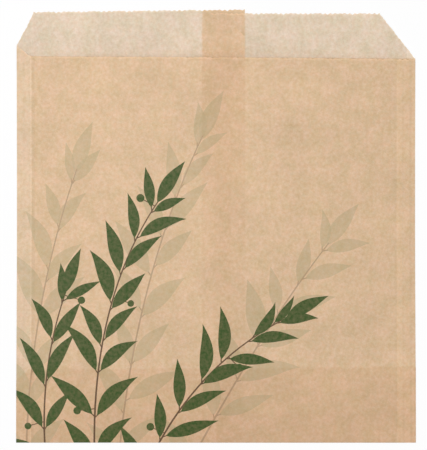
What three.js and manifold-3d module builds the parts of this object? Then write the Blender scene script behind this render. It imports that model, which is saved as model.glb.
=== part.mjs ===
// A flat greaseproof paper bag for a portion of fries, lying on its back. Millimetres, +Z up.
// +Y points at the mouth. The origin is under the middle of the bag, on the surface that it lies on.
//
// The bag is one sheet. It is folded into a flat tube, its two edges lap and are glued down the back,
// and the bottom end of the tube is folded under and glued to the back. One shaped knife cuts every
// bag from the web, so the edge of the bottom flap is the line of the mouth, one repeat further down.
// The bag has been opened once: its front stands off its back like a shallow pillow.
import * as THREE from "three";
import { mergeVertices } from "three/addons/utils/BufferGeometryUtils.js";
import Module from "manifold-3d";

// The sheet and the tube. Heights are counted from the bottom fold.
const paper = 0.06; // thickness of the sheet
const bagWidth = 120; // side fold to side fold
const frontHeight = 116; // to the left end of the front's cut
const lipHeight = 14; // from there to the highest point of the back's lip
const backFlap = 8; // the part of the back that is folded under, below the highest point of the lip

// The lap of the two edges down the back. The left edge lies inside, the right edge outside.
const seamWidth = 12.9;
const seamOffset = 2.25; // middle of the lap, right of the bag's middle

// The knife's line across the tube
const frontFall = 0.8; // the front's cut ends this much lower at the right fold
const leftStepWidth = 4; // at the left it climbs to the fold over this width
const leftStepHeight = 3.3;
const leftLipDrop = 0.8; // the lip's left corner is this much lower than its highest point
const leftClipOuter = { width: 3.3, height: 6 }; // two straight cuts go from there to the fold
const leftClipInner = { width: 1.8 };
const rightLipDrop = 1.2; // the right half of the lip is cut this much lower
const rightClipWidth = 10.8; // its corner has one straight cut, down to the fold
const toothPitch = 1.5;
const toothDepth = 0.3;
const tearDepth = 0.1; // the most that a tooth tears further

// The pillow between front and back
const belly = 6.4; // widest gap
const bellyHeight = 70; // where it is widest
const mouthGap = 5.1; // gap in the middle of the mouth
const creaseGap = 1.3; // gap at the two creases, level with the widest place
const creaseInset = 4; // from each side fold to its crease
const bellyPower = 2; // how flat the front is between the creases
const pocketFloor = 1; // the plies are pressed together this far up from the bottom fold

// The glue line that holds the bottom flap
const glueWidth = 7;
const glueInset = 1; // from the flap's edge and from the side folds

// Facets
const frontColumns = 20;
const frontRows = 18;
const foldSegments = 3; // on each quarter of a fold's round
const spare = 1; // how far a cutting shape runs past what it cuts

// The plies lie on levels that are one sheet apart, counted from the surface under the bag.
const flapLevel = 0;
const innerFlapLevel = flapLevel + paper;
const backLevel = innerFlapLevel + paper;
const lapLevel = backLevel + paper;
const frontLevel = lapLevel + paper;
const stackTop = frontLevel + paper;
const foldRadius = stackTop / 2;

const halfWidth = bagWidth / 2;
const bagHeight = frontHeight + lipHeight;
const repeat = bagHeight + backFlap; // length of web in each bag
const frontFlap = repeat - frontHeight; // the part of the front that is folded under
const seamLeft = seamOffset - seamWidth / 2;
const seamRight = seamOffset + seamWidth / 2;
const leftFoldTop = frontHeight + leftStepHeight;
const rightFoldTop = frontHeight - frontFall;

// The knife's line over the front, from fold to fold.
const frontLine = [
  [-halfWidth, leftFoldTop],
  [-halfWidth + leftStepWidth, frontHeight],
  [halfWidth, rightFoldTop],
];

// Its line over the back, which steps down where the left half's free edge lies.
function backLine(freeEdge) {
  const bend = [-halfWidth + leftClipOuter.width, leftFoldTop + leftClipOuter.height];
  const corner = [bend[0] + leftClipInner.width, bagHeight - leftLipDrop];
  const rise = (bagHeight - corner[1]) / (seamRight - corner[0]);
  return [
    [-halfWidth, leftFoldTop],
    bend,
    corner,
    [freeEdge, corner[1] + rise * (freeEdge - corner[0])],
    [freeEdge, bagHeight - rightLipDrop],
    [halfWidth - rightClipWidth, bagHeight - rightLipDrop],
    [halfWidth, rightFoldTop],
  ];
}

// A line of the knife with its saw teeth, which bite downwards. Paper tears a little at each tooth,
// so no two tips lie quite in line.
function toothed(line) {
  const points = [line[0]];
  for (let s = 0; s + 1 < line.length; s++) {
    const [x0, y0] = line[s];
    const [x1, y1] = line[s + 1];
    const length = Math.hypot(x1 - x0, y1 - y0);
    const steps = 2 * Math.max(1, Math.round(length / toothPitch));
    for (let i = 1; i < steps; i++) {
      const share = i / steps;
      const torn = tearDepth * Math.sin(3.7 * points.length) ** 2;
      const bitten = ((i % 2) * toothDepth + torn) / length;
      points.push([
        x0 + (x1 - x0) * share + (y1 - y0) * bitten,
        y0 + (y1 - y0) * share - (x1 - x0) * bitten,
      ]);
    }
    points.push([x1, y1]);
  }
  return points;
}

// How far the front stands off the back, from the middle of the bag (0) to a crease (1), as a share.
function gapAcross(place) {
  const crease = creaseGap / belly;
  return crease + (1 - crease) * (1 - place ** bellyPower);
}

// The gap in the middle of the bag, at a height above the bottom fold.
function gapAt(height) {
  const up = Math.max(height - foldRadius, 0) / (bellyHeight - foldRadius);
  if (up < 1) return belly * (1 - (1 - up) ** 2);
  const past = (height - bellyHeight) / (frontHeight - bellyHeight);
  return belly - (belly - mouthGap) * past ** 2;
}

// The sheet doesn't stretch, so the sides draw in where the front swells. A slope that rises by r
// over a run of w is longer than its run by about r * r / (2 * w).
function drawnInAtBelly() {
  const run = (halfWidth - creaseInset) / (frontColumns / 2);
  let extra = creaseGap ** 2 / (2 * creaseInset);
  for (let i = 0; i < frontColumns / 2; i++) {
    const here = gapAcross((2 * i) / frontColumns);
    const next = gapAcross((2 * (i + 1)) / frontColumns);
    extra += (belly * (here - next)) ** 2 / (2 * run);
  }
  return extra / 2;
}
const drawnIn = drawnInAtBelly();

// Where the round of a side fold begins, out from the bag's middle, at a height.
function foldAt(height) {
  return halfWidth - foldRadius - drawnIn * (gapAt(height) / belly) ** 2;
}

const wasm = await Module();
wasm.setup();

// Turns a closed geometry into a solid that can be joined and cut.
function solidOf(geometry) {
  const bare = geometry.clone();
  bare.deleteAttribute("normal");
  bare.deleteAttribute("uv");
  const merged = mergeVertices(bare, 1e-4);
  return new wasm.Manifold(
    new wasm.Mesh({
      numProp: 3,
      vertProperties: new Float32Array(merged.attributes.position.array),
      triVerts: new Uint32Array(merged.index.array),
    }),
  );
}

function geometryOf(solid) {
  const mesh = solid.getMesh();
  const geometry = new THREE.BufferGeometry();
  geometry.setAttribute("position", new THREE.BufferAttribute(mesh.vertProperties, 3));
  geometry.setIndex(new THREE.BufferAttribute(mesh.triVerts, 1));
  const faceted = geometry.toNonIndexed();
  faceted.computeVertexNormals();
  return faceted;
}

// An outline seen from above, given a thickness. Plies that lie on each other share a level, so the
// height of each point is set to the level itself and not added up.
function plate(outline, low, high) {
  const shape = new THREE.Shape(outline.map(([x, y]) => new THREE.Vector2(x, y)));
  const geometry = new THREE.ExtrudeGeometry(shape, { depth: 1, bevelEnabled: false });
  const points = geometry.attributes.position;
  for (let i = 0; i < points.count; i++) points.setZ(i, points.getZ(i) < 0.5 ? low : high);
  return solidOf(geometry);
}

function strip(left, right, near, far, low, high) {
  const outline = [
    [left, near],
    [right, near],
    [right, far],
    [left, far],
  ];
  return plate(outline, low, high);
}

// A closed skin over cross-sections, each an upper and a lower chain of as many points.
function loft(sections) {
  const rings = sections.map(([upper, lower]) => [...upper, ...lower.toReversed()]);
  const size = rings[0].length;
  const index = [];
  for (let r = 0; r + 1 < rings.length; r++) {
    for (let i = 0; i < size; i++) {
      const a = r * size + i;
      const b = r * size + ((i + 1) % size);
      index.push(a, b, b + size, a, b + size, a + size);
    }
  }
  const last = (rings.length - 1) * size;
  for (let up = 0; up + 1 < size / 2; up++) {
    const down = size - 1 - up;
    index.push(up, down, down - 1, up, down - 1, up + 1);
    index.push(last + down - 1, last + down, last + up, last + up + 1, last + down - 1, last + up);
  }
  const geometry = new THREE.BufferGeometry();
  geometry.setAttribute("position", new THREE.Float32BufferAttribute(rings.flat(2), 3));
  return solidOf(geometry.setIndex(index));
}

// Heights of the rows of facets, from one height to past the lip.
function rowsFrom(height) {
  const rise = bagHeight + spare - height;
  return Array.from({ length: frontRows + 1 }, (_, i) => height + (rise * i) / frontRows);
}

// Points of the front from crease to crease at a height, lifted off a level by the gap there.
function frontArc(height, base) {
  return Array.from({ length: frontColumns + 1 }, (_, i) => {
    const place = (2 * i) / frontColumns - 1;
    const x = place * (foldAt(height) - creaseInset);
    return [x, height, base + gapAt(height) * gapAcross(Math.abs(place))];
  });
}

// The outside of the folded and swollen bag, as if it were solid, with its round folds.
function envelope() {
  const sectionAt = (height, radius) => {
    const edge = foldAt(height);
    const round = Array.from({ length: foldSegments + 1 }, (_, k) => {
      const angle = (Math.PI / 2) * Math.min((k + 0.5) / foldSegments, 1);
      return [edge + radius * Math.cos(angle), radius * Math.sin(angle)];
    });
    const upper = [
      ...round.map(([x, z]) => [-x, height, foldRadius + z]),
      ...frontArc(height, foldRadius + radius),
      ...round.map(([x, z]) => [x, height, foldRadius + z]).reverse(),
    ];
    const lower = upper.map(([x], i) => {
      const k = Math.min(i, upper.length - 1 - i, foldSegments);
      return [x, height, foldRadius - round[k][1]];
    });
    return [upper, lower];
  };
  const turn = Array.from({ length: foldSegments }, (_, k) => {
    const angle = (Math.PI / 2) * ((k + 0.5) / foldSegments);
    return sectionAt(foldRadius * (1 - Math.cos(angle)), foldRadius * Math.sin(angle));
  });
  return loft([...turn, ...rowsFrom(foldRadius).map((height) => sectionAt(height, foldRadius))]);
}

// The hollow between front and back, which runs out through the mouth. At its sides it closes to
// half a sheet, inside the round of the folds. The lap's inner ply lies on its floor.
function pocket() {
  const closing = (lapLevel + frontLevel) / 2;
  const sections = rowsFrom(pocketFloor).map((height) => {
    const edge = foldAt(height) + foldRadius - 1.5 * paper;
    const upper = [[-edge, height, closing], ...frontArc(height, frontLevel), [edge, height, closing]];
    return [upper, upper.map(([x]) => [x, height, lapLevel])];
  });
  const lapTop = bagHeight + 2 * spare;
  const lapPly = strip(seamLeft - paper, seamRight, 0, lapTop, backLevel, frontLevel);
  return loft(sections).subtract(lapPly);
}

// A ply over the whole bag, from below the bottom fold up to a line of the knife.
function plyUpTo(line, low, high) {
  const past = halfWidth + spare;
  const outline = [
    [past, line.at(-1)[1]],
    ...toothed(line).reverse(),
    [-past, line[0][1]],
    [-past, -spare],
    [past, -spare],
  ];
  return plate(outline, low, high);
}

// The same line cuts the bottom flap, one repeat further down. Folded under, it faces the mouth.
function onFlap(line) {
  return line.map(([x, y]) => [x, repeat - y]);
}

function flapPly(line, low, high) {
  const past = halfWidth + spare;
  const edge = onFlap(toothed(line));
  const outline = [
    [-past, -spare],
    [past, -spare],
    [past, edge.at(-1)[1]],
    ...edge.reverse(),
    [-past, edge.at(-1)[1]],
  ];
  return plate(outline, low, high);
}

// The glue between the flap and the back is as thick as the inner ply, which ends below it.
function glueLine() {
  const left = -halfWidth + leftStepWidth + glueInset;
  const right = halfWidth - glueInset;
  const far = frontFlap - glueInset;
  return strip(left, right, far - glueWidth, far, innerFlapLevel, backLevel);
}

// The plies from the bottom up, each with its own cut edge.
function plies() {
  return [
    flapPly(frontLine, flapLevel - spare, innerFlapLevel),
    flapPly(backLine(seamRight), innerFlapLevel, backLevel),
    glueLine(),
    plyUpTo(backLine(seamLeft), backLevel, lapLevel),
    plyUpTo(backLine(seamRight), lapLevel, frontLevel),
    plyUpTo(frontLine, frontLevel, stackTop + belly + spare),
  ].reduce((stack, ply) => stack.add(ply));
}

const kraft = new THREE.MeshStandardMaterial({ color: 0xd8b894, roughness: 0.7, metalness: 0 });
const bag = new THREE.Mesh(geometryOf(envelope().intersect(plies()).subtract(pocket())), kraft);
bag.name = "fry_bag";
bag.position.y = -bagHeight / 2;

const group = new THREE.Group();
group.add(bag);

export default group;
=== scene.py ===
"""A greaseproof paper fry bag, lying empty on its back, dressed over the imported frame.

The bag is one sheet. It is cut flat, printed, and folded into shape here, in the order in which such
a bag is made: the web is cut, the side folds and the bottom fold are turned, and the front swells a
little. Millimetres are used for the sheet, and metres for Blender's objects.
"""
import math
from random import Random

import bpy
import numpy as np
from bpy.props import FloatProperty, FloatVectorProperty, IntProperty, PointerProperty
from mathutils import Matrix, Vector, kdtree, noise
from mathutils.geometry import delaunay_2d_cdt


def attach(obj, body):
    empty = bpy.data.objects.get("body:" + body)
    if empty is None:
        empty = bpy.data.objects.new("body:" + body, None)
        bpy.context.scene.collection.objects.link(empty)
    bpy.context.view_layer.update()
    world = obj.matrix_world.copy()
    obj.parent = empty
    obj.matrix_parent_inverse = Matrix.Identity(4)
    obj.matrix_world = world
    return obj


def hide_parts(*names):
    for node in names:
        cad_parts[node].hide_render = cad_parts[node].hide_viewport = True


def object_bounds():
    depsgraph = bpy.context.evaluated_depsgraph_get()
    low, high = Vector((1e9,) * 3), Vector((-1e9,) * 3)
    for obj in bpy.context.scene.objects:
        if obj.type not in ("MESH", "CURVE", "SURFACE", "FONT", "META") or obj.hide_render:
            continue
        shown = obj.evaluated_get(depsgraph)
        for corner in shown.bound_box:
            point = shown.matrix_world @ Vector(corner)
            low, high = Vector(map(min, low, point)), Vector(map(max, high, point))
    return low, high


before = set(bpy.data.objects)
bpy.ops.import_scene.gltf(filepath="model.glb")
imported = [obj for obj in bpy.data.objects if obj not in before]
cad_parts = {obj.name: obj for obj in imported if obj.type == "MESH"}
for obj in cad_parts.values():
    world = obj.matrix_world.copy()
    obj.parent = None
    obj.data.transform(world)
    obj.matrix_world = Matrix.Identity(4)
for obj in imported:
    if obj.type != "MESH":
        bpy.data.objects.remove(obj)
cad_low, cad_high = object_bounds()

bl_info = {
    "name": "Greaseproof Fry Bag",
    "version": (1, 0, 0),
    "blender": (4, 5, 0),
    "location": "View3D > Sidebar > Fry Bag",
    "description": "Builds a folded greaseproof paper bag with a printed sprig, on a pale studio floor",
    "category": "Object",
}

MM = 0.001

# The plies lie on levels one sheet apart, counted from the floor: each value is a ply's middle.
PLY = 0.06
OUTER_FLAP, INNER_FLAP, BACK, LAP, FRONT = (PLY * (n + 0.5) for n in range(5))
STACK = PLY * 5

# The band of torn fibres is also painted paler, as a highlight where the cut edge catches the light.
TORN_EDGE = 0.8  # how far in the knife leaves torn fibres, in millimetres

# Material numbers of the printed layers. The bare outside of the sheet is number 0.
INKS = {"leaf": 1, "stem": 2, "pale": 3, "pale_stem": 4}
DEEP_TINT = 5  # where two pale leaves lie over each other
INSIDE = 6

# The photograph's frame, and the size of one of its pixels on the floor
IMAGE_SIZE = (427, 450)
PIXEL = 0.3 * MM
AIM = Vector((-0.75 * MM, 0.3 * MM, 0.0))
SENSOR = 36.0

CAD_NODE = "fry_bag"


def linear(code):
    """Turns an sRGB hex colour into the linear values that shaders use."""
    channels = [int(code[i : i + 2], 16) / 255 for i in (1, 3, 5)]
    return [c / 12.92 if c <= 0.04045 else ((c + 0.055) / 1.055) ** 2.4 for c in channels]


def length(name, description, value):
    """A length property, given in millimetres."""
    return FloatProperty(
        name=name, description=description, default=value * MM, min=0.0, unit="LENGTH", precision=5
    )


def colour(name, description, code):
    """A colour property, given as an sRGB hex code."""
    return FloatVectorProperty(
        name=name, description=description, default=linear(code), subtype="COLOR", min=0.0, max=1.0
    )


class BagSizes(bpy.types.PropertyGroup):
    """Sizes of the sheet and of its folds. The outer ones come from the frame."""

    width: length("Width", "Side fold to side fold", (cad_high.x - cad_low.x) / MM)
    height: length("Height", "Bottom fold to the top of the lip", (cad_high.y - cad_low.y) / MM)
    belly: length("Belly", "Widest gap between front and back", cad_high.z / MM - STACK)
    belly_height: length("Belly height", "Where the gap is widest", 70)
    mouth_gap: length("Mouth gap", "Gap in the middle of the mouth", 5.1)
    crease_gap: length("Crease gap", "Gap at the two creases", 1.3)
    crease_inset: length("Crease inset", "Side fold to crease", 4)
    lip: length("Lip", "How far the back stands above the front's cut", 14)
    back_flap: length("Back flap", "Part of the back that is folded under", 8)
    seam_left: length("Lap, left half", "Lap's edge left of the middle", 4.2)
    seam_right: length("Lap, right half", "Lap's edge right of the middle", 8.7)
    tooth_pitch: length("Tooth pitch", "Saw teeth of the web knife", 1.5)
    tooth_depth: length("Tooth depth", "How deep the saw teeth bite", 0.3)
    cockle: length("Cockle", "How far the front ripples", 0.14)
    thickness: length("Paper", "Thickness of the sheet", 0.055)
    front_grid: length("Front grid", "Spacing of the front's mesh", 1.6)
    back_grid: length("Back grid", "Spacing of the back's mesh", 2.6)


class BagColours(bpy.types.PropertyGroup):
    """Colours of the paper, by the number of plies that lie over each other, and of the inks. The
    paper's tones are painted show-through: lighter where fewer plies lie over the white floor.
    """

    one_ply: colour("One ply", "Paper over the white floor", "#E0CCB4")
    two_plies: colour("Two plies", "Front over back", "#DABA97")
    three_plies: colour("Three plies", "Over the lap or the flap", "#D5B28E")
    four_plies: colour("Four plies", "Over both", "#D1AC89")
    six_plies: colour("Six plies", "Where all the plies meet", "#CCA682")
    leaf_ink: colour("Leaf ink", "Printed leaves", "#2F4813")
    stem_ink: colour("Stem ink", "Printed stems and berries", "#472F16")
    tint: colour("Tint", "Pale leaves, a thin coat over the paper", "#94926A")


class SprigSettings(bpy.types.PropertyGroup):
    """The printed sprigs."""

    seed: IntProperty(name="Seed", description="Start of the random draws of the leaves", default=11)


class StageSettings(bpy.types.PropertyGroup):
    """The studio: camera distance and lamps."""

    camera_distance: FloatProperty(
        name="Camera distance", description="Height over the floor", default=1.5, unit="LENGTH"
    )
    floor_size: FloatProperty(
        name="Floor", description="Length of each side", default=6.0, unit="LENGTH"
    )
    key: FloatProperty(
        name="Key", description="Power of the upper left soft box", default=9.55, unit="POWER"
    )
    key_size: FloatProperty(
        name="Key size", description="Side of the square soft box", default=0.8, unit="LENGTH"
    )
    fill: FloatProperty(name="Fill", description="Strength of the light from the right", default=0.45)
    ambient: FloatProperty(
        name="Ambient", description="Strength of the white surroundings", default=0.25
    )


# The flat sheet


def interpolate(line, x):
    """Height of a line of points at x."""
    return np.interp(x, [p[0] for p in line], [p[1] for p in line])


class FlatSheet:
    """The sheet before it is folded. u runs across the web, v up from the bottom fold."""

    front_fall = 0.8  # how much lower the front's cut ends on the right
    left_step = (4.0, 3.3)  # width and height of the front's cut corner on the left
    left_clip = (3.3, 6.0)  # width and height of the back's clip next to the left fold
    left_inner_clip = 1.8  # width of the steeper stretch above it
    left_lip_drop = 0.8  # the left half's corner, below the top of the lip
    right_lip_drop = 1.2  # the right half's top, below the top of the lip
    right_clip = 10.8  # width of the back's clip on the right
    tear = 0.1  # how far torn fibres stray from the knife's line
    glue = (-0.6, 4.8)  # left and right edge of the seam's glue line
    lap_rise = (0.1, 0.6)  # where the left half has climbed by a sheet, and where it starts

    def __init__(self, sizes):
        self.half = sizes.width / MM / 2
        self.height = sizes.height / MM
        self.belly = sizes.belly / MM
        self.belly_height = sizes.belly_height / MM
        self.mouth_gap = sizes.mouth_gap / MM
        self.crease_gap = sizes.crease_gap / MM
        self.inset = sizes.crease_inset / MM
        self.seam_left = -sizes.seam_left / MM
        self.seam_right = sizes.seam_right / MM
        self.pitch = sizes.tooth_pitch / MM
        self.depth = sizes.tooth_depth / MM
        self.cockle = sizes.cockle / MM
        self.front_height = self.height - sizes.lip / MM
        self.left_top = self.front_height + self.left_step[1]
        self.repeat = self.height + sizes.back_flap / MM
        self.lap_edge = -2 * self.half - self.seam_left  # the lap's free edge, on the left half

        self.fold_arc = math.pi / 2 * PLY  # half the length of sheet that a side fold takes
        self.bottom_centre = STACK / 2
        self.drawn_in = self.draw_in()

    # The knife's lines over the flattened tube, from left to right

    def front_line(self):
        return [
            (-self.half, self.left_top),
            (-self.half + self.left_step[0], self.front_height),
            (self.half, self.front_height - self.front_fall),
        ]

    def left_line(self):
        """Top edge of the back's left half, from the side fold to its free edge."""
        clip_width, clip_height = self.left_clip
        bend = -self.half + clip_width
        return [
            (-self.half, self.left_top),
            (bend, self.left_top + clip_height),
            (bend + self.left_inner_clip, self.height - self.left_lip_drop),
            (self.seam_right, self.height),
        ]

    def right_line(self):
        """Top edge of the back's right half, from its free edge to the side fold."""
        top = self.height - self.right_lip_drop
        return [
            (self.seam_left, top),
            (self.half - self.right_clip, top),
            (self.half, self.front_height - self.front_fall),
        ]

    def toothed(self, line, phase):
        """A line with the knife's saw teeth, which bite downwards. No two tips lie quite in line."""
        steep, shallow = 0.5, 1 / 3  # teeth on steep clips are this share as deep
        points = [line[0]]
        for (x0, y0), (x1, y1) in zip(line, line[1:]):
            run = math.hypot(x1 - x0, y1 - y0)
            steps = 2 * max(1, round(run / self.pitch))
            depth = self.depth * (shallow if abs(y1 - y0) >= steep * abs(x1 - x0) else 1)
            for i in range(1, steps):
                share = i / steps
                torn = self.tear * math.sin(3.7 * len(points) + phase) ** 2
                bite = ((i % 2) * depth * (0.5 + math.sin(1.9 * i + phase) ** 2) + torn) / run
                points.append(
                    (
                        x0 + (x1 - x0) * share + (y1 - y0) * bite,
                        y0 + (y1 - y0) * share - (x1 - x0) * bite,
                    )
                )
            points.append((x1, y1))
        return points

    def top_edge(self, teeth=True):
        """The whole top edge on the web, from the left half's free edge to the right half's."""
        lines = [self.left_line(), self.front_line(), self.right_line()]
        if teeth:
            lines = [self.toothed(line, phase) for phase, line in enumerate(lines)]
        left, front, right = lines
        return (
            [(-2 * self.half - x, y) for x, y in reversed(left)]
            + front[1:-1]
            + [(2 * self.half - x, y) for x, y in reversed(right)]
        )

    # The swell between front and back

    def across(self, place):
        """Share of the gap at a place from the middle (0) to a crease (1)."""
        crease = self.crease_gap / self.belly
        return crease + (1 - crease) * (1 - place**2)

    def gap(self, height):
        """Gap in the middle of the bag at a height above the bottom fold."""
        up = np.clip((height - self.bottom_centre) / (self.belly_height - self.bottom_centre), 0, 1)
        past = (height - self.belly_height) / (self.front_height - self.belly_height)
        past = np.clip(past, 0, 1.15)  # the lip beyond the mouth closes a little further
        return self.belly * (1 - (1 - up) ** 2) - (self.belly - self.mouth_gap) * past**2

    def draw_in(self):
        """How far each side draws in at the belly, because the sheet doesn't stretch."""
        steps = 10
        place = np.linspace(0, 1, steps + 1)
        run = (self.half - self.inset) / steps
        rises = np.diff(self.across(place)) * self.belly
        return float((self.crease_gap**2 / (2 * self.inset) + (rises**2).sum() / (2 * run)) / 2)

    def fold_at(self, height):
        """Where a side fold begins to turn, out from the middle of the bag."""
        return self.half - STACK / 2 - self.drawn_in * (self.gap(height) / self.belly) ** 2

    # Folding

    def turn_under(self, v, top, under):
        """Place of a ply along the bottom fold: height above the fold line, and level."""
        radius = np.abs(top - under) / 2
        reach = math.pi / 2 * radius
        angle = np.clip(v / reach, -1, 1) * math.pi / 2
        forward = self.bottom_centre - radius * np.cos(angle) + np.maximum(np.abs(v) - reach, 0)
        return forward, (top + under) / 2 + (top - under) / 2 * np.sin(angle)

    def fold(self, u, v):
        """Folds points of the flat sheet and returns their places, in metres, in the frame."""
        side = np.where(u < 0, -1.0, 1.0)
        away = np.abs(u) - self.half

        front_y, front_z = self.turn_under(v, FRONT, OUTER_FLAP)
        swell = np.where(v > 0, self.gap(front_y), 0.0)
        edge = self.fold_at(np.maximum(front_y, 0) * (v > 0))
        crease = self.half - self.inset
        place = np.minimum(np.abs(u) / crease, 1)
        beyond = np.clip((np.abs(u) - crease) / (self.inset - self.fold_arc), 0, 1)
        front_x = place * (edge - self.inset) + beyond * self.inset
        front_z = front_z + swell * self.across(place) * (1 - beyond)

        # Inside the lap's outer ply, the left half climbs by one sheet.
        climbed, starts = self.lap_rise
        lapped = np.clip((self.lap_edge + starts - u) / (starts - climbed), 0, 1) * (u < 0)
        lapped = lapped * lapped * (3 - 2 * lapped)
        back_y, back_z = self.turn_under(
            v, BACK + (LAP - BACK) * lapped, INNER_FLAP + (OUTER_FLAP - INNER_FLAP) / 2 * lapped
        )
        back_x = edge * (1 - (away - self.fold_arc) / (self.half - self.fold_arc))

        turn = np.clip((away + self.fold_arc) / (2 * self.fold_arc), 0, 1) * math.pi
        toward_front = (1 + np.cos(turn)) / 2
        radius = np.hypot(front_y - back_y, front_z - back_z) / 2
        x = np.where(away < 0, front_x, np.where(away > self.fold_arc, back_x, edge))
        x = x + radius * np.sin(turn)
        y = front_y * toward_front + back_y * (1 - toward_front)
        z = front_z * toward_front + back_z * (1 - toward_front)
        z = z + self.ripple(u, v)
        return np.stack([x * side, y - self.height / 2, z], axis=1) * MM

    def ripple(self, u, v):
        """Low waves that paper takes up from moist air. They die out at the folds."""
        (long_x, long_y), (short_x, short_y) = (17, 21), (7, 9)
        calm_side, calm_foot = 9, 18  # how far from a fold the waves reach their full height
        lip_start, lip_run, lip_share = self.front_height - 12, 20, 1.6
        out = np.zeros(len(u))
        for i, (a, b) in enumerate(zip(u, v)):
            if b < 0:
                continue
            wave = noise.noise((a / long_x, b / long_y, 3.0))
            wave += 0.5 * noise.noise((a / short_x, b / short_y, 8.0))
            if abs(a) < self.half:
                free = min((self.half - abs(a)) / calm_side, 1) * min(b / calm_foot, 1)
                out[i] = self.cockle * wave * free
            elif b > lip_start:
                free = min((abs(a) - self.half) / calm_side, 1) * (b - lip_start) / lip_run
                out[i] = lip_share * self.cockle * (0.5 + wave) * max(free, 0)
        return out


# The print


def leaf(base, heading, size, bend):
    """Outline of one leaf: pointed at both ends, with a slightly bent spine."""
    leaf_length, width = size
    along = Vector((math.cos(heading), math.sin(heading)))
    aside = Vector((-along.y, along.x))
    fullest, pointed = 0.8, 1.1  # the widest place lies towards the base, and both ends are pointed
    shares = np.linspace(0, 1, 14).tolist()
    spine = [base + leaf_length * (s * along + bend * s * (1 - s) * 2 * aside) for s in shares]
    half = [width / 2 * math.sin(math.pi * s**fullest) ** pointed for s in shares]
    left = [p + h * aside for p, h in zip(spine, half)]
    right = [p - h * aside for p, h in zip(spine, half)]
    return left + right[-2:0:-1]


def berry(centre, radius):
    """Outline of a round berry."""
    turns = np.linspace(0, 2 * math.pi, 15).tolist()[:-1]
    return [centre + radius * Vector((math.cos(t), math.sin(t))) for t in turns]


def stroke(points, wide, narrow):
    """Outline of a line that tapers from one width to another."""
    left, right = [], []
    for i, point in enumerate(points):
        before, after = points[max(i - 1, 0)], points[min(i + 1, len(points) - 1)]
        along = (after - before).normalized()
        aside = Vector((-along.y, along.x)) * (wide + (narrow - wide) * i / (len(points) - 1)) / 2
        left.append(point + aside)
        right.append(point - aside)
    return left + right[::-1]


def sprig(start, control, end, nodes, leaf_size, draw, berries=True):
    """Outlines of a curved stem with leaves to both sides, one at its tip, and stalked berries."""
    start, control, end = Vector(start), Vector(control), Vector(end)

    def at(t):
        return (1 - t) ** 2 * start + 2 * t * (1 - t) * control + t * t * end

    stem_steps, stem_widths = 24, (0.6, 0.34)
    stalk_length, stalk_widths, berry_stalk_widths = 1.6, (0.4, 0.3), (0.3, 0.26)
    first_pair, leafy_share = 0.09, 0.85
    foot_spread, tip_closing, stray = 44, 12, 13  # degrees between a leaf and the stem

    leaves, dots = [], []
    stems = [stroke([at(i / stem_steps) for i in range(stem_steps + 1)], *stem_widths)]
    for i in range(nodes):
        t = first_pair + leafy_share * i / (nodes - 1)
        ahead = at(t + 0.01) - at(t - 0.01)
        heading = math.atan2(ahead.y, ahead.x)
        grown = 0.8 + 0.28 * math.sin(math.pi * min(t * 0.9 + 0.12, 1))
        for hand in (-1, 1):
            spread = foot_spread - tip_closing * t + draw.uniform(-stray, stray)
            spread = math.radians(spread) * hand
            scale = grown * draw.uniform(0.82, 1.12)
            size = (leaf_size[0] * scale, leaf_size[1] * scale * draw.uniform(0.88, 1.1))
            base = at(t + draw.uniform(-0.022, 0.022))
            out = Vector((math.cos(heading + spread), math.sin(heading + spread)))
            stems.append(stroke([base, base + stalk_length * out], *stalk_widths))
            leaves.append(leaf(base + out, heading + spread, size, -draw.uniform(0.02, 0.2) * hand))
        if berries and i % 3 == 1:
            hand = 1 if i % 2 else -1
            out = heading + hand * math.radians(draw.uniform(80, 105))
            tip = at(t + 0.03) + draw.uniform(4.6, 5.6) * Vector((math.cos(out), math.sin(out)))
            stems.append(stroke([at(t + 0.03), tip], *berry_stalk_widths))
            dots.append(berry(tip, draw.uniform(1.0, 1.25)))
    ahead = at(1.0) - at(0.97)
    leaves.append(leaf(at(0.985), math.atan2(ahead.y, ahead.x), leaf_size, 0.06))
    return leaves, stems, dots


def printed_shapes(seed):
    """The print as closed outlines on the flat sheet: (layer, outline), the lowest layer first.

    Each sprig is given by its stem's foot, bend and tip, in millimetres from the middle of the
    front's bottom fold, by its pairs of leaves, and by the length and width of a leaf."""
    draw = Random(seed)
    pale = [
        ((-57, -14), (-58, 36), (-42, 82), 7, (16.5, 4.8)),
        ((-30, -14), (-26, 46), (-4, 92), 8, (16.5, 4.8)),
        ((-12, -14), (12, 32), (34, 60), 7, (16.0, 4.6)),
    ]
    dark = [
        ((-50, -15), (-55, 18), (-45, 46), 5, (14.0, 3.7)),
        ((-36, -15), (-40, 40), (-17, 73), 8, (15.0, 4.0)),
        ((-24, -15), (-10, 22), (22, 38), 7, (14.5, 3.8)),
    ]
    shapes = []
    for stem in pale:
        leaves, stems, _ = sprig(*stem, draw, berries=False)
        shapes += [("pale", outline) for outline in leaves]
        shapes += [("pale_stem", outline) for outline in stems]
    for stem in dark:
        leaves, stems, dots = sprig(*stem, draw)
        shapes += [("stem", outline) for outline in stems]
        shapes += [("leaf", outline) for outline in leaves + dots]
    return shapes


def inside(outline, u, v):
    """Which of the points lie in a closed outline."""
    hit = np.zeros(len(u), bool)
    for (x0, y0), (x1, y1) in zip(outline, outline[1:] + outline[:1]):
        if y0 != y1:
            crosses = (y0 > v) != (y1 > v)
            hit ^= crosses & (u < (x1 - x0) * (v - y0) / (y1 - y0) + x0)
    return hit


# The mesh


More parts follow.
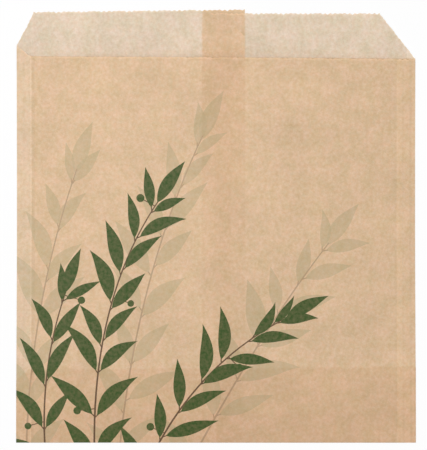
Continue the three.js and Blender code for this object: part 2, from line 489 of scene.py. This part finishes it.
class Drawing:
    """Points and lines on the flat sheet that the triangles keep to."""

    def __init__(self):
        self.points = []
        self.edges = []

    def line(self, points, step=None, closed=False):
        """Adds a line. With a step, no stretch of it is longer than that."""
        points = [tuple(p) for p in points]
        if closed:
            points.append(points[0])
        first = len(self.points)
        self.points.append(points[0])
        for (x0, y0), (x1, y1) in zip(points, points[1:]):
            count = max(1, math.ceil(math.hypot(x1 - x0, y1 - y0) / step)) if step else 1
            for i in range(1, count + 1):
                self.points.append((x0 + (x1 - x0) * i / count, y0 + (y1 - y0) * i / count))
                self.edges.append((len(self.points) - 2, len(self.points) - 1))
        if closed:
            self.points.pop()
            self.edges[-1] = (len(self.points) - 1, first)

    def fill(self, rect, spacing, clear):
        """Adds a staggered grid of points that keep a distance from all that is drawn."""
        tree = kdtree.KDTree(len(self.points))
        for i, (x, y) in enumerate(self.points):
            tree.insert((x, y, 0), i)
        tree.balance()
        (left, bottom), (right, top) = rect
        rows = int((top - bottom) / (spacing * 0.866))
        for row in range(rows + 1):
            y = bottom + (top - bottom) * row / rows
            x = left + (spacing / 2 if row % 2 else 0.0)
            while x < right:
                _, _, distance = tree.find((x, y, 0))
                if distance > clear:
                    self.points.append((x, y))
                x += spacing


def draw_sheet(sheet, sizes, shapes):
    """Draws the cut edges, the folds and the print on the flat sheet."""
    drawing = Drawing()
    top = sheet.top_edge()
    bottom = [(u, v - sheet.repeat) for u, v in reversed(top)]
    drawing.line(top + bottom, closed=True)

    # A line just inside the cut edges bounds the torn fibres there, and with them the painted edge
    # highlight.
    smooth = sheet.top_edge(teeth=False)
    inner = [(u, v - TORN_EDGE) for u, v in smooth]
    left, right = smooth[0][0], smooth[-1][0]
    torn_step = 2.0
    drawing.line(inner, step=torn_step)
    drawing.line([(u, v + 2 * TORN_EDGE - sheet.repeat) for u, v in inner], step=torn_step)

    # Each fold is several lines close together, which end short of the teeth.
    front_step, back_step = sizes.front_grid / MM, sizes.back_grid / MM
    low, high = min(v for _, v in bottom), sheet.height
    turns, short, crease_foot = np.linspace(-1, 1, 7), 1.0, 0.3
    for side in (-1, 1):
        for turn in turns:
            u = side * (sheet.half + turn * sheet.fold_arc)
            reach = interpolate(smooth, u)
            drawing.line([(u, reach - sheet.repeat + short), (u, reach - short)], step=front_step)
        u = side * (sheet.half - sheet.inset)
        drawing.line([(u, crease_foot), (u, interpolate(smooth, u) - short)], step=front_step)
    outer_reach = math.pi / 4 * (FRONT - OUTER_FLAP)
    inner_reach = math.pi / 4 * (BACK - INNER_FLAP)
    for v in [*turns * outer_reach, -inner_reach, inner_reach]:
        drawing.line([(left, v), (right, v)], step=front_step)
    rise_foot, rise_top = -5.0, sheet.height - 2
    for past_edge in np.linspace(*reversed(sheet.lap_rise), 3):
        u = sheet.lap_edge + past_edge
        drawing.line([(u, rise_foot), (u, rise_top)], step=back_step)

    for _, outline in shapes:
        drawing.line(outline, closed=True)

    clear = 0.45  # share of the spacing that the grid's points keep from every line
    half, beyond = sheet.half, sheet.half + 0.4
    drawing.fill(((-half, low), (half, high)), front_step, clear * front_step)
    drawing.fill(((left, low), (-beyond, high)), back_step, clear * back_step)
    drawing.fill(((beyond, low), (right, high)), back_step, clear * back_step)
    return drawing, top + bottom


def build_sheet(sheet, sizes, shapes):
    """Makes the flat sheet's triangles, folds them, and gives them ink."""
    drawing, outline = draw_sheet(sheet, sizes, shapes)
    points = [Vector(p) for p in drawing.points]
    flat, _, faces, sources, _, _ = delaunay_2d_cdt(points, drawing.edges, [], 0, 1e-4, True)
    uv = np.array([(p.x, p.y) for p in flat])
    corners = np.array(faces)
    middle = uv[corners].mean(axis=1)
    corners = corners[inside(outline, middle[:, 0], middle[:, 1])]

    # Only the points of the sheet itself are kept, in their order.
    kept = np.unique(corners)
    on_edge = np.array([any(s < len(outline) for s in sources[k]) for k in kept])
    corners = np.searchsorted(kept, corners)
    uv = uv[kept]
    middle = uv[corners].mean(axis=1)

    ink = np.zeros(len(corners), int)
    pale_count = np.zeros(len(corners), int)
    for layer, shape in shapes:
        covered = inside([tuple(p) for p in shape], middle[:, 0], middle[:, 1])
        ink[covered] = INKS[layer]
        if layer == "pale":
            pale_count += covered
    ink[(ink == INKS["pale"]) & (pale_count > 1)] = DEEP_TINT

    mesh = bpy.data.meshes.new("fry_bag_sheet")
    mesh.from_pydata(sheet.fold(uv[:, 0], uv[:, 1]).tolist(), [], corners.tolist())
    mesh.polygons.foreach_set("material_index", ink)
    mesh.polygons.foreach_set("use_smooth", np.ones(len(corners), bool))

    web = mesh.attributes.new("web", "FLOAT_VECTOR", "POINT")
    web.data.foreach_set("vector", np.column_stack([uv * MM, np.zeros(len(uv))]).ravel())
    # Points on the cut edges: paler torn fibres and a painted highlight where the edge catches the
    # light.
    torn = mesh.attributes.new("torn", "FLOAT", "POINT")
    torn.data.foreach_set("value", on_edge.astype(float))
    return mesh


# Materials


def add(tree, kind, settings=None, inputs=None):
    """Adds a node, sets its properties, and fills or links its inputs."""
    node = tree.nodes.new(kind)
    for name, value in (settings or {}).items():
        setattr(node, name, value)
    for name, value in (inputs or {}).items():
        if isinstance(value, bpy.types.NodeSocket):
            tree.links.new(value, node.inputs[name])
        else:
            node.inputs[name].default_value = value
    return node


def ply_masks(tree, place, sheet):
    """Masks that are 1 where a ply or the glue lies, and 0 past its edges.

    An edge is given as (across, up, limit): the ply lies where x * across + y * up is under the
    limit, in millimetres from the middle of the bag."""
    middle = sheet.height / 2
    cut = sheet.front_height - middle
    fall = sheet.front_fall / (2 * sheet.half - sheet.left_step[0])
    corner = -sheet.half + sheet.left_step[0]
    corner_slope = sheet.left_step[1] / sheet.left_step[0]
    flap = sheet.repeat - sheet.front_height - middle
    inner = sheet.repeat - sheet.height + sheet.left_lip_drop - middle
    right_slope = (sheet.height - sheet.front_height) / sheet.right_clip
    right_start = sheet.half - sheet.right_clip
    left_width = sheet.left_clip[0] + sheet.left_inner_clip
    left_slope = (sheet.height - sheet.left_lip_drop - sheet.left_top) / left_width
    left_start = -sheet.half + left_width
    glue_left, glue_right = sheet.glue
    plies = {
        # name: (how the edges join, softness of the edges in millimetres, edges)
        "front": ("MAXIMUM", 0.2, [(fall, 1, cut + fall * corner),
                                   (corner_slope, 1, cut + corner_slope * corner)]),
        "lap": ("MINIMUM", 0.7, [(-1, 0, -sheet.seam_left), (1, 0, sheet.seam_right)]),
        "glue": ("MINIMUM", 2.0, [(-1, 0, -glue_left), (1, 0, glue_right)]),
        "flap": ("MINIMUM", 1.0, [(-fall, 1, flap - fall * corner),
                                  (-corner_slope, 1, flap - corner_slope * corner)]),
        "inner": ("MAXIMUM", 1.8, [(0, 1, inner),
                                   (-right_slope, 1, inner - right_slope * right_start),
                                   (left_slope, 1, inner + left_slope * left_start)]),
    }
    masks = {}
    for name, (join, soft, edges) in plies.items():
        for across, up, limit in edges:
            reach = add(
                tree, "ShaderNodeVectorMath", {"operation": "DOT_PRODUCT"},
                {0: place, 1: (across / MM, up / MM, 0)},
            ).outputs["Value"]
            mask = add(
                tree, "ShaderNodeMapRange", {"interpolation_type": "SMOOTHSTEP"},
                {"Value": reach, "From Min": limit + soft / 2, "From Max": limit - soft / 2},
            ).outputs["Result"]
            if name in masks:
                mask = add(
                    tree, "ShaderNodeMath", {"operation": join}, {0: masks[name], 1: mask}
                ).outputs[0]
            masks[name] = mask
    return masks


def plies_behind(tree, place, across_web, masks, sheet):
    """How many plies lie behind the first one, over the whole sheet. A ply that is seen faintly,
    because another stands off it, counts for less."""
    # The front stands off the lap, which shows through it less and less away from the mouth. From
    # the back it shows evenly.
    half, side_line = sheet.half, 0.2
    faint_share, faint_below, full_above = 0.35, -20, 45
    from_middle = add(tree, "ShaderNodeMath", {"operation": "ABSOLUTE"}, {0: across_web}).outputs[0]
    far = add(
        tree, "ShaderNodeMapRange", None,
        {"Value": from_middle, "From Min": (half - side_line) * MM, "From Max": half * MM,
         "To Min": faint_share, "To Max": 1.0},
    ).outputs["Result"]
    up = add(tree, "ShaderNodeSeparateXYZ", None, {"Vector": place}).outputs["Y"]
    near = add(
        tree, "ShaderNodeMapRange", None,
        {"Value": up, "From Min": faint_below * MM, "From Max": full_above * MM,
         "To Min": far, "To Max": 1.0},
    ).outputs["Result"]
    lap_share = add(
        tree, "ShaderNodeMapRange", None, {"Value": masks["front"], "To Min": 1.0, "To Max": near}
    ).outputs["Result"]

    # Between the left crease and the left fold the plies lie apart, and the front is painted paler: a
    # painted highlight where this strip is lifted and tilts towards the light.
    strip_narrow, strip_wide, strip_loss = 4.1, 4.6, -0.3
    painted_strip_highlight = add(
        tree, "ShaderNodeMapRange", {"interpolation_type": "SMOOTHSTEP"},
        {"Value": across_web,
         "From Min": (strip_narrow - half) * MM, "From Max": (strip_wide - half) * MM,
         "To Min": strip_loss, "To Max": 0.0},
    ).outputs["Result"]

    count = masks["front"]
    parts = (
        (masks["lap"], lap_share), (masks["flap"], 1.0), (masks["inner"], 0.45),
        (masks["glue"], 0.3), (masks["front"], painted_strip_highlight),
    )
    for mask, share in parts:
        count = add(
            tree, "ShaderNodeMath", {"operation": "MULTIPLY_ADD"}, {0: mask, 1: share, 2: count}
        ).outputs[0]
    return count


def ply_tone(tree, count, colours):
    """Colour of the paper by the number of plies behind the first one, painted in for the light from
    the white floor that shows through the sheet.
    """
    stops = (
        (0, colours.one_ply), (1, colours.two_plies), (2, colours.three_plies),
        (3, colours.four_plies), (5, colours.six_plies),
    )
    most = stops[-1][0]
    share = add(tree, "ShaderNodeMath", {"operation": "DIVIDE"}, {0: count, 1: most}).outputs[0]
    tones = add(tree, "ShaderNodeValToRGB", None, {"Fac": share})
    ramp = tones.color_ramp
    for i, (behind, tone) in enumerate(stops):
        stop = ramp.elements[i] if i < 2 else ramp.elements.new(1.0)
        stop.position = behind / most
        stop.color = (*tone, 1.0)
    return tones.outputs["Color"]


def pulp(tree, web):
    """Unevenness of the pulp around 0, and the clouds and flocs that it is made of."""
    # Clouds of fibre are 14 and 4 mm wide, flocs 1.1 mm and fibres 0.3 by 2 mm. Real fibres are
    # 0.03 mm thick, so they are drawn ten times as coarse to show at all.
    grain = []
    for width, amount in ((14.0, 0.22), (4.0, 0.24), (1.1, 0.13)):
        blots = add(
            tree, "ShaderNodeTexNoise", {"noise_dimensions": "2D"},
            {"Vector": web, "Scale": 1 / (width * MM), "Detail": 3.0, "Roughness": 0.6},
        ).outputs["Fac"]
        grain.append((blots, amount))
    _, (cloud, _), (floc, _) = grain
    fibre_length, fibre_width, fibre_amount = 2.0, 0.3, 0.105
    for turn in (20, 75, -40):
        laid = add(
            tree, "ShaderNodeMapping", {"vector_type": "TEXTURE"},
            {"Vector": web, "Rotation": (0, 0, math.radians(turn)),
             "Scale": (fibre_length * MM, fibre_width * MM, 1)},
        ).outputs["Vector"]
        fibres = add(
            tree, "ShaderNodeTexNoise", {"noise_dimensions": "2D"},
            {"Vector": laid, "Scale": 1.0, "Detail": 1.0},
        ).outputs["Fac"]
        grain.append((fibres, fibre_amount))
    uneven = -0.5 * sum(amount for _, amount in grain)
    for value, amount in grain:
        uneven = add(
            tree, "ShaderNodeMath", {"operation": "MULTIPLY_ADD"}, {0: value, 1: amount, 2: uneven}
        ).outputs[0]
    return uneven, cloud, floc


def painted_fold_shading(tree, across_web, factor, half):
    """Painted shade and highlight up the web where the tube was pressed flat: fine dark and light lines
    along the creases, as a ridge catches and loses the light, a faint darker band on the back next to
    the left fold, and a painted highlight band along the right fold.
    """
    soft = 0.15
    lines = (
        # (middle on the web, half width, change of brightness)
        (-half + 4.8, 0.5, -0.06),
        (-half + 4.2, 0.2, 0.07),
        (-half + 2.1, 0.2, -0.03),
        (half - 1.4, 0.3, -0.05),
        (half - 3.6, 0.25, -0.03),
        (-half - 2.2, 2.0, -0.03),
        # A painted highlight along the right fold, where the front slopes away from the light.
        (half - 1.5, 4.0, 0.08),
    )
    for middle, reach, change in lines:
        offset = add(
            tree, "ShaderNodeMath", {"operation": "SUBTRACT"}, {0: across_web, 1: middle * MM}
        ).outputs[0]
        distance = add(tree, "ShaderNodeMath", {"operation": "ABSOLUTE"}, {0: offset}).outputs[0]
        line = add(
            tree, "ShaderNodeMapRange", {"interpolation_type": "SMOOTHSTEP"},
            {"Value": distance, "From Min": (reach + soft) * MM, "From Max": (reach - soft) * MM,
             "To Max": change},
        ).outputs["Result"]
        factor = add(tree, "ShaderNodeMath", {"operation": "ADD"}, {0: factor, 1: line}).outputs[0]
    return factor


def pulp_casts(tree, colour, cloud, floc):
    """Thick flocs are browner than thin ones, and the clouds run from pinkish to yellowish."""
    casts = (
        (floc, (1.0, 0.95, 0.9, 1), (1.0, 1.04, 1.09, 1)),
        (cloud, (0.99, 1.01, 0.955, 1), (1.01, 0.99, 1.03, 1)),
    )
    for value, thick, thin in casts:
        spread = add(
            tree, "ShaderNodeMapRange", None, {"Value": value, "From Min": 0.3, "From Max": 0.7}
        ).outputs["Result"]
        cast = add(
            tree, "ShaderNodeMix", {"data_type": "RGBA"}, {"Factor": spread, 6: thick, 7: thin}
        ).outputs[2]
        colour = add(
            tree, "ShaderNodeVectorMath", {"operation": "MULTIPLY"}, {0: colour, 1: cast}
        ).outputs["Vector"]
    return colour


def paper_group(sheet, colours):
    """Colour and relief of the paper, shared by the bare and the printed parts of the sheet, with
    painted show-through, painted shade and painted highlights in its colour.
    """
    tree = bpy.data.node_groups.new("greaseproof_paper", "ShaderNodeTree")
    tree.interface.new_socket("Color", in_out="OUTPUT", socket_type="NodeSocketColor")
    tree.interface.new_socket("Relief", in_out="OUTPUT", socket_type="NodeSocketFloat")
    tree.interface.new_socket("Cloud", in_out="OUTPUT", socket_type="NodeSocketFloat")

    place = add(tree, "ShaderNodeTexCoord").outputs["Object"]
    web = add(tree, "ShaderNodeAttribute", {"attribute_name": "web"}).outputs["Vector"]
    torn = add(tree, "ShaderNodeAttribute", {"attribute_name": "torn"}).outputs["Fac"]
    across_web = add(tree, "ShaderNodeSeparateXYZ", None, {"Vector": web}).outputs["X"]

    # The paper lets light through, so it looks deeper where plies lie over each other.
    masks = ply_masks(tree, place, sheet)
    count = plies_behind(tree, place, across_web, masks, sheet)
    tone = ply_tone(tree, count, colours)

    # A single ply over white shows its pulp more clearly than two.
    uneven, cloud, floc = pulp(tree, web)
    clear = add(
        tree, "ShaderNodeMapRange", None, {"Value": masks["front"], "To Min": 1.05, "To Max": 1.0}
    ).outputs["Result"]
    factor = add(
        tree, "ShaderNodeMath", {"operation": "MULTIPLY_ADD"}, {0: uneven, 1: clear, 2: 1.0}
    ).outputs[0]
    factor = painted_fold_shading(tree, across_web, factor, sheet.half)

    # Torn fibres along the knife's cuts look paler, and the paler band is also a painted highlight
    # where the cut edge catches the light.
    factor = add(
        tree, "ShaderNodeMath", {"operation": "MULTIPLY_ADD"}, {0: torn, 1: 0.15, 2: factor}
    ).outputs[0]
    toned = add(
        tree, "ShaderNodeVectorMath", {"operation": "SCALE"}, {0: tone, "Scale": factor}
    ).outputs["Vector"]
    toned = pulp_casts(tree, toned, cloud, floc)
    out = add(tree, "NodeGroupOutput", None, {"Color": toned, "Relief": uneven, "Cloud": floc})
    out.is_active_output = True
    return tree


def paper_material(name, group, ink=None, coat=0.0, grain=0.0, roughness=0.62):
    """Greaseproof paper, bare or under an ink.

    The coat is how much of the paper the ink hides, and the grain how much that varies."""
    material = bpy.data.materials.new(name)
    material.use_nodes = True
    tree = material.node_tree
    tree.nodes.clear()
    paper = add(tree, "ShaderNodeGroup", {"node_tree": group})
    base = paper.outputs["Color"]
    if ink is not None:
        cover = add(
            tree, "ShaderNodeMath", {"operation": "MULTIPLY_ADD"},
            {0: paper.outputs["Cloud"], 1: grain, 2: coat - grain / 2},
        ).outputs[0]
        base = add(
            tree, "ShaderNodeMix", {"data_type": "RGBA"}, {"Factor": cover, 6: base, 7: (*ink, 1.0)}
        ).outputs[2]
    bump = add(
        tree, "ShaderNodeBump", None,
        {"Height": paper.outputs["Relief"], "Strength": 0.35, "Distance": 0.02 * MM},
    ).outputs["Normal"]
    shader = add(
        tree, "ShaderNodeBsdfPrincipled", None,
        {"Base Color": base, "Roughness": roughness, "IOR": 1.47, "Specular IOR Level": 0.3,
         "Normal": bump},
    )
    add(tree, "ShaderNodeOutputMaterial", None, {"Surface": shader.outputs["BSDF"]})
    return material


def bag_materials(sheet, colours):
    """The paper and its inks, in the order of the material numbers."""
    group = paper_group(sheet, colours)
    leaf_ink, stem_ink, tint = colours.leaf_ink, colours.stem_ink, colours.tint
    return [
        # Unbleached kraft pulp, beaten hard and calendered: warm brown and faintly clouded, with a
        # low sheen.
        paper_material("kraft_greaseproof_bare", group),
        # Water-based flexo ink in dark green: matt, and uneven where it sinks into the pulp.
        paper_material("flexo_ink_leaf", group, leaf_ink, 0.95, 0.3, 0.6),
        # The same ink in dark brown, in lines so thin that the paper shows at their edges.
        paper_material("flexo_ink_stem", group, stem_ink, 0.9, 0.15, 0.6),
        # A light screen of the green: the paper shows through, greyer and a little darker.
        paper_material("flexo_tint_pale", group, tint, 0.3, 0.1),
        # A light screen of the brown, which leaves faint stems.
        paper_material("flexo_tint_stem", group, stem_ink, 0.35, 0.1),
        # Two screens of the green over each other, one step deeper.
        paper_material("flexo_tint_deep", group, tint, 0.4, 0.1),
        # The unprinted side of the same paper, seen inside the mouth and on the cut edges.
        paper_material("kraft_greaseproof_inside", group),
    ]


# Operators


class FRYBAG_OT_build_bag(bpy.types.Operator):
    """Cuts, prints and folds the sheet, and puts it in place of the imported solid"""

    bl_idname = "fry_bag.build_bag"
    bl_label = "Fry Bag"

    def execute(self, context):
        settings = context.scene.fry_bag
        sheet = FlatSheet(settings.sizes)
        shapes = printed_shapes(settings.sprigs.seed)
        mesh = build_sheet(sheet, settings.sizes, shapes)
        if not mesh.polygons:
            raise RuntimeError("the flat sheet has no triangles")
        materials = bag_materials(sheet, settings.colours)
        for material in materials:
            mesh.materials.append(material)
        piece = bpy.data.objects.new("fry_bag_sheet", mesh)
        context.scene.collection.objects.link(piece)

        # The outside keeps its print, and the inside is bare.
        thick = piece.modifiers.new("paper", "SOLIDIFY")
        thick.thickness = settings.sizes.thickness
        thick.offset = 0.0
        thick.material_offset = INSIDE
        thick.material_offset_rim = INSIDE
        context.view_layer.update()
        thickened = piece.evaluated_get(context.evaluated_depsgraph_get())
        solid = bpy.data.meshes.new_from_object(thickened)
        piece.modifiers.clear()
        piece.data = solid
        fold_angle = 40
        solid.set_sharp_from_angle(angle=math.radians(fold_angle))

        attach(piece, "root")
        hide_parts(CAD_NODE)
        return {"FINISHED"}


class FRYBAG_OT_build_stage(bpy.types.Operator):
    """Lays the pale floor, hangs the lamps and sets the camera straight above the bag"""

    bl_idname = "fry_bag.build_stage"
    bl_label = "Studio"

    def execute(self, context):
        stage = context.scene.fry_bag.stage
        scene = context.scene
        scene.view_settings.view_transform = "Standard"

        half = stage.floor_size / 2
        plane = bpy.data.meshes.new("floor")
        corners = [(-half, -half, 0), (half, -half, 0), (half, half, 0), (-half, half, 0)]
        plane.from_pydata(corners, [], [(0, 1, 2, 3)])
        floor = bpy.data.objects.new("floor", plane)
        scene.collection.objects.link(floor)

        # A white board: rays that show it see mostly white, and what is left takes the shadow.
        glow = 0.84
        board = bpy.data.materials.new("white_board")
        board.use_nodes = True
        tree = board.node_tree
        tree.nodes.clear()
        seen = self.seen(tree)
        part = add(tree, "ShaderNodeMath", {"operation": "MULTIPLY"}, {0: seen, 1: glow}).outputs[0]
        matt = add(tree, "ShaderNodeBsdfDiffuse", None, {"Color": (0.98, 0.98, 0.98, 1)})
        white = add(tree, "ShaderNodeEmission")
        mixed = add(
            tree, "ShaderNodeMixShader", None, {0: part, 1: matt.outputs[0], 2: white.outputs[0]}
        )
        add(tree, "ShaderNodeOutputMaterial", None, {"Surface": mixed.outputs[0]})
        plane.materials.append(board)

        world = bpy.data.worlds.new("studio")
        world.use_nodes = True
        tree = world.node_tree
        tree.nodes.clear()
        strength = add(
            tree, "ShaderNodeMapRange", None,
            {"Value": self.seen(tree), "To Min": stage.ambient, "To Max": 1.0},
        ).outputs["Result"]
        sky = add(
            tree, "ShaderNodeBackground", None, {"Color": (1, 1, 1, 1), "Strength": strength}
        )
        add(tree, "ShaderNodeOutputWorld", None, {"Surface": sky.outputs[0]})
        scene.world = world

        # A large soft box hangs upper left, near enough that the bag's right side is a little
        # darker, and a weak even light comes from the right.
        key_place, fill_place, fill_spread = (-0.38, 0.3, 1.02), (0.55, 0.1, 1.0), 60
        box = bpy.data.lights.new("key", "AREA")
        box.shape = "SQUARE"
        box.size = stage.key_size
        box.energy = stage.key
        fill = bpy.data.lights.new("fill", "SUN")
        fill.angle = math.radians(fill_spread)
        fill.energy = stage.fill
        for lamp, place in ((box, key_place), (fill, fill_place)):
            holder = bpy.data.objects.new(lamp.name, lamp)
            holder.location = place
            holder.rotation_mode = "QUATERNION"
            holder.rotation_quaternion = Vector(place).to_track_quat("Z", "Y")
            scene.collection.objects.link(holder)

        lens = bpy.data.cameras.new("camera")
        lens.sensor_width = SENSOR
        lens.lens = stage.camera_distance * SENSOR / (max(IMAGE_SIZE) * PIXEL)
        lens.clip_start, lens.clip_end = 0.01, 20.0
        camera = bpy.data.objects.new("camera", lens)
        camera.location = AIM + Vector((0, 0, stage.camera_distance))
        scene.collection.objects.link(camera)
        scene.camera = camera
        return {"FINISHED"}

    @staticmethod
    def seen(tree):
        """1 for a ray that shows a surface to the eye, by itself or in a reflection."""
        path = add(tree, "ShaderNodeLightPath")
        seen = path.outputs["Is Camera Ray"]
        for kind in ("Is Glossy Ray", "Is Transmission Ray"):
            seen = add(
                tree, "ShaderNodeMath", {"operation": "MAXIMUM"}, {0: seen, 1: path.outputs[kind]}
            ).outputs[0]
        return seen


class FryBagSettings(bpy.types.PropertyGroup):
    """All settings of the add-on."""

    sizes: PointerProperty(type=BagSizes)
    colours: PointerProperty(type=BagColours)
    sprigs: PointerProperty(type=SprigSettings)
    stage: PointerProperty(type=StageSettings)


class FRYBAG_PT_sidebar(bpy.types.Panel):
    """Lists the settings and the two operators"""

    bl_idname = "FRYBAG_PT_sidebar"
    bl_label = "Fry Bag"
    bl_space_type = "VIEW_3D"
    bl_region_type = "UI"
    bl_category = "Fry Bag"

    def draw(self, context):
        settings = context.scene.fry_bag
        for group in (settings.sizes, settings.colours, settings.sprigs, settings.stage):
            box = self.layout.box()
            for name in group.__annotations__:
                box.prop(group, name)
        for operator in (FRYBAG_OT_build_bag, FRYBAG_OT_build_stage):
            self.layout.operator(operator.bl_idname)


CLASSES = (
    BagSizes,
    BagColours,
    SprigSettings,
    StageSettings,
    FryBagSettings,
    FRYBAG_OT_build_bag,
    FRYBAG_OT_build_stage,
    FRYBAG_PT_sidebar,
)


def register():
    for cls in CLASSES:
        bpy.utils.register_class(cls)
    bpy.types.Scene.fry_bag = PointerProperty(type=FryBagSettings)


def unregister():
    del bpy.types.Scene.fry_bag
    for cls in reversed(CLASSES):
        bpy.utils.unregister_class(cls)


def main():
    register()
    bpy.ops.fry_bag.build_bag()
    bpy.ops.fry_bag.build_stage()


if __name__ == "__main__":
    main()
